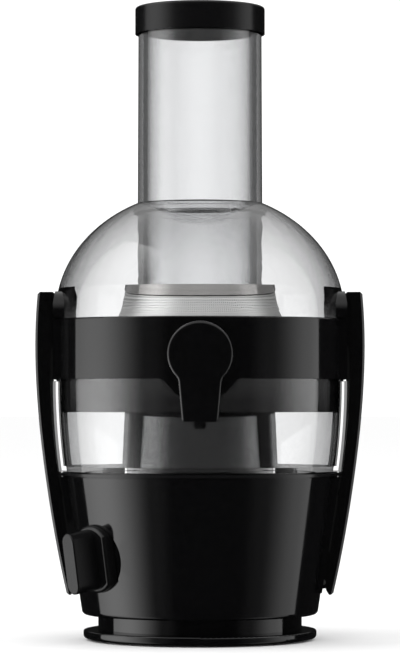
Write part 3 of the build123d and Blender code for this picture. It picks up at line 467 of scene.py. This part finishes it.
def finish_piece(piece: bpy.types.Object, name: str, body: str, slot: str,
                 stands_for: tuple[str, ...]) -> None:
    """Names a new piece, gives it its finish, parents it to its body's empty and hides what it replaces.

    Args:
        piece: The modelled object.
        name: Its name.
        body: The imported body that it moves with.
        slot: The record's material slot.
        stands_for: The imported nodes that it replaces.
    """
    piece.name = name
    piece.data.name = name
    piece.data.materials.clear()
    piece.data.materials.append(SLOT_FINISHES[slot].material())
    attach(piece, body)
    if stands_for:
        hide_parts(*stands_for)
    log.info("%s: %d faces", name, len(piece.data.polygons))


# ================================================================ sieve
@dataclass
class SieveNet:
    """The perforated steel wall of the sieve."""

    holes_round: int = 240
    rows: int = 34
    rim_share: float = 0.22
    bow: float = 1.8 * MM
    steel: float = 0.8 * MM
    ring_step: float = 0.5 * MM

    def levels(self) -> list[tuple[float, float]]:
        """Works out the wall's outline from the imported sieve.

        Returns:
            Radius and height at each row, from the foot up.
        """
        low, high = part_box("sieve_mesh")
        foot = high.x
        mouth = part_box("sieve_top_ring")[1].x - self.ring_step
        result = []
        for row in range(self.rows + 1):
            share = row / self.rows
            bowed = 4.0 * self.bow * share * (1.0 - share)
            result.append((foot + (mouth - foot) * share + bowed, low.z + (high.z - low.z) * share))
        return result

    def build(self) -> bpy.types.Object:
        """Models the wall: rings drawn up from a circle, a hole in each face, then the steel's thickness.

        Returns:
            The finished piece.
        """
        nothing_selected()
        levels = self.levels()
        radius, height = levels[0]
        bpy.ops.mesh.primitive_circle_add(vertices=self.holes_round, radius=radius, location=(0, 0, height))
        piece = bpy.context.object
        bpy.ops.object.mode_set(mode="EDIT")
        bpy.ops.mesh.select_mode(type="EDGE")
        bpy.ops.mesh.select_all(action="SELECT")
        for new_radius, new_height in levels[1:]:
            bpy.ops.mesh.extrude_edges_move(TRANSFORM_OT_translate={"value": (0, 0, new_height - height)})
            share = new_radius / radius
            bpy.ops.transform.resize(value=(share, share, 1.0))
            radius, height = new_radius, new_height
        self.cut_holes()
        bpy.ops.object.mode_set(mode="OBJECT")
        self.thicken(piece)
        bpy.ops.object.transform_apply(location=True, rotation=True, scale=True)
        finish_piece(piece, "sieve_net", "sieve", "steel_mesh", ("sieve_mesh",))
        return piece

    def cut_holes(self) -> None:
        """Insets every face and deletes what is inside."""
        bpy.ops.mesh.select_mode(type="FACE")
        bpy.ops.mesh.select_all(action="SELECT")
        pitch = 2.0 * math.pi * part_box("sieve_mesh")[1].x / self.holes_round
        bpy.ops.mesh.inset(thickness=pitch * self.rim_share, use_individual=True)
        bpy.ops.mesh.delete(type="FACE")
        bpy.ops.mesh.select_all(action="SELECT")
        bpy.ops.mesh.normals_make_consistent(inside=False)

    def thicken(self, piece: bpy.types.Object) -> None:
        """Gives the wall the steel's thickness, inwards."""
        wall = piece.modifiers.new("steel", "SOLIDIFY")
        wall.thickness = self.steel
        wall.offset = -1.0
        bpy.ops.object.modifier_apply(modifier=wall.name)


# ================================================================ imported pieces
@dataclass
class PackedPieces:
    """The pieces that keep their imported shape."""

    slots: dict[str, str]

    def dress(self) -> None:
        """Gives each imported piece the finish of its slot."""
        for name, piece in frame["nodes"].items():
            material = SLOT_FINISHES[self.slots[name]].material()
            for place in piece.material_slots:
                place.material = material
            log.info("%s: %s", name, material.name)


# ================================================================ studio
@dataclass
class Softbox:
    """A tall light panel beside the juicer, bright at one upright edge and fading to the other."""

    name: str
    fade_azimuth: float
    bright_azimuth: float
    distance: float
    height: float
    radiance: float
    fade: tuple[tuple[float, float], ...]
    top_fade: tuple[float, float] = (0.55, 0.98)
    foot_fade: tuple[float, float] = (0.34, 0.52)
    foot_strength: float = 0.5

    def place(self) -> None:
        """Sets up the light, facing the juicer's axis."""
        ends = [Vector((math.sin(math.radians(a)), -math.cos(math.radians(a)), 0.0)) * self.distance
                for a in (self.fade_azimuth, self.bright_azimuth)]
        width = (ends[1] - ends[0]).length
        middle = (ends[0] + ends[1]) / 2
        light = bpy.data.lights.new(self.name, "AREA")
        light.shape = "RECTANGLE"
        light.size = width
        light.size_y = self.height
        light.energy = self.radiance * math.pi * width * self.height
        light.use_nodes = True
        self.shade(light.node_tree)
        lamp = bpy.data.objects.new(self.name, light)
        across = (ends[1] - ends[0]).normalized()
        back = across.cross(Vector((0, 0, 1)))
        if back.dot(middle) < 0:
            back.negate()
        turn = Matrix((across, back.cross(across), back)).transposed().to_4x4()
        lamp.matrix_world = Matrix.Translation(middle) @ turn
        lamp.visible_camera = False
        bpy.context.scene.collection.objects.link(lamp)
        log.info("%s: width %.2f m", self.name, width)

    def shade(self, tree: bpy.types.NodeTree) -> None:
        """Makes the panel fade across its width, and towards its top and its foot."""
        bench = Bench(tree)
        place = bench.add("ShaderNodeNewGeometry")
        parts = bench.add("ShaderNodeSeparateXYZ")
        bench.join(place.outputs["Parametric"], parts.inputs[0])
        ramp = bench.add("ShaderNodeValToRGB")
        while len(ramp.color_ramp.elements) < len(self.fade):
            ramp.color_ramp.elements.new(0.5)
        ramp.color_ramp.interpolation = "EASE"
        for element, (where, strength) in zip(ramp.color_ramp.elements, self.fade):
            element.position = where
            element.color = (strength, strength, strength, 1.0)
        bench.join(parts.outputs["X"], ramp.inputs[0])
        upper = bench.span(parts.outputs["Y"], *self.top_fade, 1.0, 0.0)
        lower = bench.span(parts.outputs["Y"], *self.foot_fade, self.foot_strength, 1.0)
        strength = bench.maths("MULTIPLY", ramp.outputs[0], bench.maths("MULTIPLY", upper, lower))
        emission = bench.add("ShaderNodeEmission")
        bench.join(strength, emission.inputs["Strength"])
        result = bench.add("ShaderNodeOutputLight")
        bench.join(emission.outputs[0], result.inputs[0])


@dataclass
class Studio:
    """Pale table, white surround, two softboxes and the camera."""

    camera_distance: float = 2.093
    camera_height: float = 0.152
    camera_pitch: float = 1.34
    lens: float = 175.9
    table_half: float = 40.0
    brightness: float = 1.2
    bent_brightness: float = 0.30
    bent_share_below: float = 0.05
    bent_rise: tuple[float, float] = (-0.06, 0.0)
    ceiling_rise: tuple[float, float] = (0.25, 0.75)
    ceiling_brightness: tuple[float, float] = (0.012, 0.9)

    def build(self) -> None:
        """Sets up the whole studio."""
        self.camera()
        self.table()
        self.surround()
        self.lights()
        scene = bpy.context.scene
        scene.view_settings.view_transform = "Standard"
        scene.cycles.max_bounces = 24
        scene.cycles.transmission_bounces = 24
        scene.cycles.transparent_max_bounces = 24

    def camera(self) -> None:
        """Adds the camera, in front of the juicer and a little above its middle."""
        data = bpy.data.cameras.new("camera")
        data.lens = self.lens
        data.clip_end = 200.0
        camera = bpy.data.objects.new("camera", data)
        camera.location = (0.0, -self.camera_distance, self.camera_height)
        camera.rotation_euler = (math.radians(90.0 + self.camera_pitch), 0.0, 0.0)
        bpy.context.scene.collection.objects.link(camera)
        bpy.context.scene.camera = camera

    def table(self) -> None:
        """Adds the pale table, which gloss doesn't reflect and clear plastic doesn't show."""
        nothing_selected()
        bpy.ops.mesh.primitive_plane_add(size=2 * self.table_half)
        table = bpy.context.object
        table.name = "table"
        finish = Finish("pale_table", (0.93, 0.93, 0.93), (0.95, 0.95, 0.95), roughness=0.8, spread=0.1,
                        grain=30.0, grain_height=0.01 * MM, specular=0.0)
        table.data.materials.append(finish.material())
        table.visible_glossy = False
        table.visible_transmission = False

    def surround(self) -> None:
        """Makes the surround: white to look at and as light, dark where gloss reflects its sides.

        Rays that gloss sends on through clear plastic see it dim, and nearly dark below the horizon.
        """
        world = bpy.data.worlds.new("surround")
        world.use_nodes = True
        bpy.context.scene.world = world
        bench = Bench(world.node_tree)
        place = bench.add("ShaderNodeTexCoord")
        parts = bench.add("ShaderNodeSeparateXYZ")
        bench.join(place.outputs["Generated"], parts.inputs[0])
        ceiling = bench.span(parts.outputs["Z"], *self.ceiling_rise, *self.ceiling_brightness)
        path = bench.add("ShaderNodeLightPath")
        straight = bench.maths("LESS_THAN", path.outputs["Glossy Depth"], 0.5)
        through = bench.maths("MULTIPLY", path.outputs["Is Transmission Ray"], straight)
        plain = bench.maths("MAXIMUM", path.outputs["Is Camera Ray"], through)
        plain = bench.maths("MAXIMUM", plain, path.outputs["Is Diffuse Ray"])
        dimmest = self.bent_share_below * self.bent_brightness
        level = bench.span(parts.outputs["Z"], *self.bent_rise, dimmest, self.bent_brightness)
        bent = bench.maths("MULTIPLY", path.outputs["Is Transmission Ray"], level)
        gloss = bench.maths("MAXIMUM", ceiling, bent)
        mix = bench.add("ShaderNodeMix", data_type="FLOAT")
        bench.join(plain, mix.inputs["Factor"])
        bench.join(gloss, mix.inputs["A"])
        mix.inputs["B"].default_value = self.brightness
        background = bench.add("ShaderNodeBackground")
        background.inputs["Color"].default_value = (1.0, 1.0, 1.0, 1.0)
        bench.join(mix.outputs["Result"], background.inputs["Strength"])
        result = bench.add("ShaderNodeOutputWorld")
        bench.join(background.outputs[0], result.inputs[0])

    def lights(self) -> None:
        """Adds the two softboxes."""
        Softbox("left_softbox", fade_azimuth=-22.0, bright_azimuth=-112.0, distance=1.3, height=3.6,
                radiance=2.7, fade=((0.0, 0.0), (0.25, 0.05), (0.62, 1.0), (1.0, 0.55))).place()
        Softbox("right_softbox", fade_azimuth=36.0, bright_azimuth=104.0, distance=1.3, height=3.6,
                radiance=1.4, fade=((0.0, 0.0), (0.3, 0.1), (0.75, 0.9), (1.0, 1.0))).place()


# ================================================================ the whole
def main() -> None:
    """Builds the looks in order and reports each piece."""
    logging.basicConfig(level=logging.INFO, format="%(name)s: %(message)s")
    record = frame["record"]
    slots = {part["node"]: part["material_slot"] for part in record["subparts"]}
    PackedPieces(slots).dress()
    SieveNet().build()
    Studio().build()


if __name__ == "__main__":
    main()
